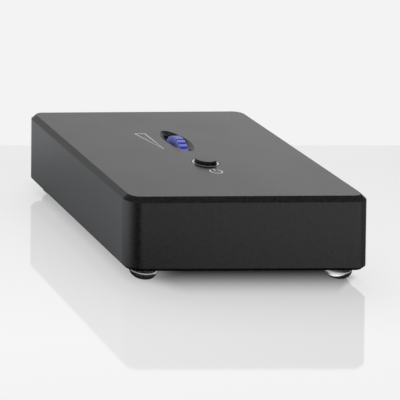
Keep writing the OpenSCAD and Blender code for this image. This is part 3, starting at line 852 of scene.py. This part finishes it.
class PREAMP_OT_connectors(bpy.types.Operator):
    """Finish the connectors on the back"""

    bl_idname = "preamp.connectors"
    bl_label = "Connectors"

    def execute(self, context):
        gold = metal("jack_gold", PLATED_GOLD, 0.2, turned=0.5)
        white = moulded("insulator_white", (0.78, 0.78, 0.75), 0.32, speck=0.04)
        red = moulded("insulator_red", (0.5, 0.02, 0.015), 0.32)
        black = moulded("block_black", (0.016, 0.016, 0.018), 0.42)
        nickel = metal("nickel_bright", (0.7, 0.69, 0.66), 0.2, turned=0.4)
        for pair in ("input", "output"):
            paint(black, pair + "_block")
            for side, tint in (("left", white), ("right", red)):
                stem = pair + "_" + side + "_"
                paint(gold, stem + "barrel", stem + "contact")
                paint(tint, stem + "insulator")
        axis = middle_of("ground_post")
        start, end = BACK_Y + 0.002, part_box("ground_post")[1].y - 0.0003
        thread = (axis.x, axis.z, start, end, POST_PITCH)
        paint(metal("post_gold", PLATED_GOLD, 0.22, thread=thread), "ground_post")
        paint(metal("thumb_gold", PLATED_GOLD, 0.24, turned=0.5), "ground_thumb_nut")
        paint(nickel, "ground_post_nut", "ground_washer", "headphone_ring_nut", "power_inlet_pin")
        paint(metal("switch_frame", (0.58, 0.58, 0.6), 0.34), "cartridge_switch")
        paint(black, "cartridge_slider", "headphone_jack", "power_inlet")
        return {"FINISHED"}


class PREAMP_OT_board(bpy.types.Operator):
    """Finish the circuit board and its parts"""

    bl_idname = "preamp.board"
    bl_label = "Circuit board"

    def execute(self, context):
        paint(board_finish("solder_mask"), "circuit_board")
        paint(metal("screw_steel", (0.6, 0.6, 0.62), 0.3), "board_screws")
        paint(can_sleeve("can_sleeve"), *["can_capacitor_" + str(i) for i in (1, 2, 3, 4)])
        film = moulded("film_red", (0.42, 0.02, 0.012), 0.3)
        paint(film, "film_capacitor_1", "film_capacitor_2")
        chips = ("amplifier_chip_1", "amplifier_chip_2", "voltage_regulator")
        paint(moulded("chip_black", (0.014, 0.014, 0.015), 0.55), *chips)
        paint(moulded("relay_case", (0.75, 0.74, 0.68), 0.38), "mute_relay")
        return {"FINISHED"}


# The marks on top, in millimetres from the case's middle
WEDGE = [(-9.25, 25.4), (-9.45, 3.6), (-13.65, 25.4)]
POWER_X, POWER_Y, POWER_R = 0.45, -26.7, 2.45
POWER_BAR = (-25.8, -23.4)


class PREAMP_OT_volume_mark(bpy.types.Operator):
    """Print the volume wedge beside the wheel"""

    bl_idname = "preamp.volume_mark"
    bl_label = "Volume mark"

    def execute(self, context):
        looks = context.scene.preamp_mark
        mesh = lines_mesh("volume_mark", [(WEDGE, True)], looks.line, looks.ink, on_top)
        piece("volume_mark", mesh, print_ink("mark_ink", looks.level), "case")
        return {"FINISHED"}


class PREAMP_OT_power_mark(bpy.types.Operator):
    """Print the power symbol in front of the button"""

    bl_idname = "preamp.power_mark"
    bl_label = "Power mark"

    def execute(self, context):
        looks = context.scene.preamp_mark
        ring = arc(POWER_X, POWER_Y, POWER_R, 125, 415, 40)
        bar = [(POWER_X, y) for y in POWER_BAR]
        lines = [(ring, False), (bar, False)]
        mesh = lines_mesh("power_mark", lines, looks.line, looks.ink, on_top)
        piece("power_mark", mesh, print_ink("power_ink", looks.level), "case")
        return {"FINISHED"}


class PREAMP_OT_back_marks(bpy.types.Operator):
    """Print a sign above each connector on the back"""

    bl_idname = "preamp.back_marks"
    bl_label = "Back marks"

    def execute(self, context):
        looks = context.scene.preamp_mark
        lines = []
        for pair, inward in (("input", True), ("output", False)):
            left, right = (behind(pair + "_" + side + "_barrel") for side in ("left", "right"))
            lines += arrow_sign((left + right) / 2, looks.row, inward)
        lines += earth_sign(behind("ground_post"), looks.row)
        lines += switch_sign(behind("cartridge_slider"), looks.row)
        lines += headphone_sign(behind("headphone_jack"), looks.row)
        lines += polarity_sign(behind("power_inlet"), looks.row)
        mesh = lines_mesh("back_marks", lines, looks.back_line, looks.ink, on_back)
        piece("back_marks", mesh, print_ink("back_ink", looks.level), "case")
        return {"FINISHED"}


# ---------- signs on the back ----------


def behind(node):
    """Where a connector stands along the back, seen from behind, in millimetres."""
    return -middle_of(node).x / MM


def box_sign(x, z, wide, high):
    """A small closed box round a point."""
    return [(x - wide, z - high), (x + wide, z - high), (x + wide, z + high), (x - wide, z + high)]


def arrow_sign(x, z, inward):
    """An arrow into a bracket, or out of it."""
    side = 1 if inward else -1
    tip = x + (0.9 if inward else 2.4)
    near, far = x + side * 0.3, x + side * 1.9
    bracket = [(near, z + 1.4), (far, z + 1.4), (far, z - 1.4), (near, z - 1.4)]
    shaft = [(x - (2.4 if inward else 0.9), z), (tip, z)]
    head = [(tip - 0.8, z + 0.8), (tip, z), (tip - 0.8, z - 0.8)]
    return [(bracket, False), (shaft, False), (head, False)]


def earth_sign(x, z):
    """A stem over three bars."""
    widths = ((1.5, 0.1), (1.0, -0.6), (0.5, -1.3))
    bars = [([(x - wide, z + up), (x + wide, z + up)], False) for wide, up in widths]
    return [([(x, z + 1.5), (x, z + 0.1)], False), *bars]


def switch_sign(x, z):
    """One tick at one end of the travel and two at the other."""
    return [([(x + at, z - 0.9), (x + at, z + 0.9)], False) for at in (-1.9, 1.5, 2.2)]


def headphone_sign(x, z):
    """A band over two cups."""
    cups = [(box_sign(x + side * 1.55, z - 0.9, 0.22, 0.5), True) for side in (-1, 1)]
    return [(arc(x, z - 0.3, 1.6, 0, 180, 24), False), *cups]


def polarity_sign(x, z):
    """A pin within a sleeve, with a plus on the pin's side and a minus on the sleeve's."""
    signs = [(arc(x + side * 2.9, z, 0.75, 0, 337.5, 15), True) for side in (-1, 1)]
    minus = [(x - 3.3, z), (x - 2.5, z)]
    plus = [[(x + 2.5, z), (x + 3.3, z)], [(x + 2.9, z - 0.4), (x + 2.9, z + 0.4)]]
    leads = [[(x - 2.15, z), (x - 0.95, z)], [(x + 0.1, z), (x + 2.15, z)]]
    sleeve = arc(x, z, 0.95, 50, 310, 24)
    pin = arc(x, z, 0.12, 0, 315, 7)
    lines = [(line, False) for line in [minus, *plus, *leads]]
    return [*signs, *lines, (sleeve, False), (pin, True)]


# ---------- studio ----------


class PREAMP_OT_stage(bpy.types.Operator):
    """Set the table, the lamp, the world and the camera"""

    bl_idname = "preamp.stage"
    bl_label = "Studio"

    def execute(self, context):
        looks = context.scene.preamp_stage
        table(looks)
        surroundings(looks)
        softbox()
        camera(context)
        context.scene.view_settings.view_transform = "Standard"
        return {"FINISHED"}


# The table top, in metres
TABLE_HALF = 2.4
TABLE_THICK = 0.02
# Its painted light, a glow that fades across the table: the share at the middle, what each metre to
# the right takes away, and the stretch across and along in which it changes
GLOW_MIDDLE = 0.426
GLOW_FALL = 0.33
GLOW_ACROSS = (-0.14, 0.16)
GLOW_ALONG = (-0.12, 0.09)
# The painted shadow under the case: how far its sides stand in at the front, how far they spread
# behind it, how much sharper the right one is, and its soft edge
SHADE_LEFT = 0.0195
SHADE_RIGHT = 0.0115
SHADE_SLANT = 0.008
SHADE_SHARP = 4
SHADE_EDGE = (-0.019, 0.013)
# How roundly the case's outline on the table turns its corners
OUTLINE_ROUND = 0.006
# The painted reflection that glossy surfaces see of the table: how far in from the front corners
# its angles are taken, the soft edge of its painted dark patch by the case, the level beside it,
# how far off it is full, and its strength
CORNER_IN = 0.0062
REFLECTED_SHADE_EDGE = (-0.004, 0.01)
REFLECTED_SHADE_LEVEL = 0.547
REFLECTED_SHADE_REACH = 0.1
PAINTED_REFLECTION_STRENGTH = 1.5


def beside_case(x, y, left=None, right=None):
    """How far a place on the table is outside the case's outline, or outside given sides.

    Under the case it is below 0.
    """
    left = CASE_LOW.x - x if left is None else left
    right = x - CASE_HIGH.x if right is None else right
    across = left.math("MAXIMUM", right)
    along = (y - MID_Y).math("ABSOLUTE") - (CASE_HIGH.y - CASE_LOW.y) / 2
    return across.math("SMOOTH_MAX", along, OUTLINE_ROUND)


def bearing(x, y, corner_x, corner_y):
    """The direction of a place on the table from a corner, 0 to 1 for a whole turn from +X."""
    turn = (y - corner_y).math("ARCTAN2", x - corner_x) / (2 * math.pi)
    return (turn + 1.0).math("FRACT")


def table_mesh():
    """A square slab with its top at the height that the feet stand on."""
    bm = bmesh.new()
    half = TABLE_HALF
    corners = [(-half, -half), (half, -half), (half, half), (-half, half)]
    top = [bm.verts.new((x, y, 0.0)) for x, y in corners]
    low = [bm.verts.new((x, y, -TABLE_THICK)) for x, y in corners]
    bm.faces.new(top)
    bm.faces.new(low[::-1])
    for i in range(4):
        j = (i + 1) % 4
        bm.faces.new((top[i], low[i], low[j], top[j]))
    return mesh_of(bm, "table_top")


def table_gloss(f, looks, x, y, shown, through):
    """The table top itself: a pale gloss with painted light, a glow that fades across it and is
    held back in a painted shadow under the case.
    """
    painted_light_fade = GLOW_MIDDLE - x.held(*GLOW_ACROSS) * GLOW_FALL - y.held(*GLOW_ALONG) * looks.table_fade
    # Painted shadow: the glow fades out under the case along a slanted outline
    inward = (y - CASE_LOW.y).math("MINIMUM", SHADE_SLANT)
    left = CASE_LOW.x + SHADE_LEFT - inward - x
    right = (x - inward - (CASE_HIGH.x - SHADE_RIGHT)) * SHADE_SHARP
    lit = beside_case(x, y, left, right).step(*SHADE_EDGE)
    # Painted light: the glow, full to rays that pass through clear parts, fades across the table
    # and stops in the painted shadow
    glow = lit.math("MAXIMUM", through) * painted_light_fade * shown
    haze = f.noise(scale=2.0)
    return f.node(
        "ShaderNodeBsdfPrincipled",
        None,
        {
            "Base Color": f.mix(haze, grey(looks.table * 0.99), grey(looks.table)),
            "Roughness": 0.05,
            "IOR": 1.45,
            "Emission Color": f.mix(glow, grey(0.0), grey(1.0)),
            "Emission Strength": looks.table_glow,
        },
    )


def table_mirrored(f, looks, x, y):
    """Painted reflection: what glossy surfaces see of the table, painted darker on some sides as if
    flags stood there.
    """
    painted_reflection_left = f.ramp(
        bearing(x, y, CASE_LOW.x + CORNER_IN, CASE_LOW.y + CORNER_IN),
        (0.0, 0.97),
        (0.2, looks.left, 0.08),
        (0.31, looks.left, 0.08),
        (0.38, 0.74, 0.08),
        (0.477, 1.27),
        (0.56, 1.0),
        (0.61, 0.55),
        (0.654, 0.3),
        (0.693, 0.15),
        (0.745, 0.15),
        (0.778, 0.57),
        (0.84, 0.63),
        (0.91, 0.81),
        (0.96, 0.97),
    )
    painted_reflection_right = f.ramp(
        bearing(x, y, CASE_HIGH.x - CORNER_IN, CASE_LOW.y + CORNER_IN),
        (0.0, 0.15),
        (0.1, 0.15),
        (0.2, 0.3),
        (0.3, 1.0),
        (0.87, 1.0),
        (0.9, 0.75),
        (0.94, 0.3),
    )
    # Painted shade in the reflection: dark beside the case, full level further off
    close = beside_case(x, y)
    near = close.step(*REFLECTED_SHADE_EDGE) * (REFLECTED_SHADE_LEVEL + close.step(0.0, REFLECTED_SHADE_REACH) * (1 - REFLECTED_SHADE_LEVEL))
    seen = f.mix(near, grey(0.0), f.mix(1.0, painted_reflection_left, painted_reflection_right, blend="MULTIPLY"))
    return f.node("ShaderNodeEmission", None, {"Color": seen, "Strength": PAINTED_REFLECTION_STRENGTH})


def table(looks):
    """A pale glossy table top that ends in the backdrop."""
    mesh = table_mesh()
    made = bpy.data.objects.new("table_top", mesh)
    bpy.context.scene.collection.objects.link(made)
    f = Finish("table_gloss")
    x, y, _ = f.parts(f.place())
    through, camera_ray, glossy_ray = f.rays("Transmission", "Camera", "Glossy")
    shown = through.math("MAXIMUM", camera_ray)
    gloss = table_gloss(f, looks, x, y, shown, through)
    painted_reflection = table_mirrored(f, looks, x, y)
    beyond = (y + x * looks.back_slant > looks.table_back) * shown
    plain = f.node("ShaderNodeEmission", None, {"Color": grey(looks.backdrop)})
    # Glossy rays see the painted reflection, other rays the table with its painted glow and painted
    # shadow
    ends = f.node("ShaderNodeMixShader", None, {0: glossy_ray, 1: gloss, 2: painted_reflection})
    ends = f.node("ShaderNodeMixShader", None, {0: beyond, 1: ends, 2: plain})
    f.node("ShaderNodeOutputMaterial", None, {"Surface": ends})
    mesh.materials.append(f.material)


# Bands of the room that reflections show, by how a direction climbs: 0 is level, 1 straight up
FLOOR_BAND = (0.0, 0.2)
ROOF_BAND = (0.27, 0.58)


def surroundings(looks):
    """A pale room: plain to the camera, and for reflections pale low down and dark overhead."""
    world = bpy.data.worlds.new("studio")
    bpy.context.scene.world = world
    f = Finish("studio", world)
    x, _, z = f.parts(f.node("ShaderNodeTexCoord", out="Generated"))
    camera_ray, glossy_ray = f.rays("Camera", "Glossy")
    sides = f.ramp(
        x * 0.5 + 0.5,
        (0.0, 0.95),
        (0.35, 0.95),
        (0.5, 0.6),
        (0.57, 0.62),
        (0.66, 1.0),
        (0.71, 1.18),
        (0.8, 1.0),
        (0.9, 0.1),
    )
    low = f.mix(z.step(*FLOOR_BAND), grey(0.5), sides)
    room = f.mix(z.step(*ROOF_BAND), low, grey(looks.overhead))
    lit = f.mix(glossy_ray, grey(looks.fill), room)
    seen = f.mix(camera_ray, lit, grey(looks.backdrop))
    shade = f.node("ShaderNodeBackground", None, {"Color": seen, "Strength": 1.0})
    f.node("ShaderNodeOutputWorld", None, {"Surface": shade})


# The lamp: its place and its two sides in metres, and its power in watts
LAMP_PLACE = Vector((0.05, 0.6, 1.0))
LAMP_SIZE = (1.5, 1.1)
LAMP_POWER = 11.0


def softbox():
    """A large soft lamp above and behind the case, aimed at its foot and unseen in reflections."""
    light = bpy.data.lights.new("softbox_back", "AREA")
    light.shape = "RECTANGLE"
    light.size, light.size_y = LAMP_SIZE
    light.energy = LAMP_POWER
    made = bpy.data.objects.new("softbox_back", light)
    made.location = LAMP_PLACE
    made.rotation_euler = (-LAMP_PLACE).to_track_quat("-Z", "Y").to_euler()
    made.visible_glossy = False
    bpy.context.scene.collection.objects.link(made)


# The view. Lengths in its plane are in pixels of a square frame: the lens's length, the frame's
# width, and the point straight ahead of the lens. The turn is about X, then Y, then Z.
VIEW_LENS = 2173.8258
VIEW_WIDTH = 400.0
VIEW_AHEAD = (-804.7575, -413.0116)
VIEW_EYE = Vector((-403.4324, -965.3956, 352.7551)) * MM
VIEW_TURN = (-0.0610, 0.0168, 0.0332)
SENSOR_WIDTH = 36.0


def camera(context):
    """The view: a long lens whose picture plane stays near upright, as with a technical camera."""
    about_x, about_y, about_z = (
        Matrix.Rotation(angle, 3, axis) for angle, axis in zip(VIEW_TURN, "XYZ")
    )
    turn = about_z @ about_y @ about_x
    right, depth, up = turn.col[0].copy(), turn.col[1].copy(), turn.col[2].copy()
    ahead_u, ahead_v = VIEW_AHEAD
    half = VIEW_WIDTH / 2
    centre = right * ((half - ahead_u) / VIEW_LENS) + depth + up * ((ahead_v - half) / VIEW_LENS)
    away = -centre.normalized()
    plane = Matrix.Identity(4)
    for row in range(3):
        plane[row] = (right[row], up[row], away[row], VIEW_EYE[row])
    data = bpy.data.cameras.new("view")
    data.sensor_width = SENSOR_WIDTH
    data.lens = VIEW_LENS * centre.length * SENSOR_WIDTH / VIEW_WIDTH
    data.clip_start, data.clip_end = 0.05, 20.0
    made = bpy.data.objects.new("view", data)
    stand = bpy.data.objects.new("camera_stand", None)
    for thing in (made, stand):
        context.scene.collection.objects.link(thing)
    made.parent = stand
    made.matrix_parent_inverse = plane
    context.scene.camera = made


# ---------- panel and registration ----------


class PREAMP_PT_panel(bpy.types.Panel):
    """Lists every step of the build"""

    bl_idname = "PREAMP_PT_panel"
    bl_label = "Phono preamp"
    bl_space_type = "VIEW_3D"
    bl_region_type = "UI"
    bl_category = "Preamp"

    def draw(self, context):
        for step in STEPS:
            self.layout.operator(step.bl_idname)


LOOKS = {
    "preamp_case": CaseLooks,
    "preamp_wheel": WheelLooks,
    "preamp_spring": SpringLooks,
    "preamp_mark": MarkLooks,
    "preamp_stage": StageLooks,
}
STEPS = [
    PREAMP_OT_stage,
    PREAMP_OT_case,
    PREAMP_OT_wheel,
    PREAMP_OT_button,
    PREAMP_OT_spring,
    PREAMP_OT_connectors,
    PREAMP_OT_board,
    PREAMP_OT_volume_mark,
    PREAMP_OT_power_mark,
    PREAMP_OT_back_marks,
]


def register():
    """Makes every class known and hangs each group of looks on the scene."""
    for kind in [*LOOKS.values(), *STEPS, PREAMP_PT_panel]:
        bpy.utils.register_class(kind)
    for name, kind in LOOKS.items():
        setattr(bpy.types.Scene, name, PointerProperty(type=kind))


def unregister():
    """Takes the groups of looks off the scene, and then the classes."""
    for name in LOOKS:
        delattr(bpy.types.Scene, name)
    for kind in [PREAMP_PT_panel, *STEPS[::-1], *LOOKS.values()]:
        bpy.utils.unregister_class(kind)


def main():
    """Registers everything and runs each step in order."""
    register()
    for step in STEPS:
        getattr(bpy.ops.preamp, step.bl_idname.split(".")[1])()


if __name__ == "__main__":
    main()
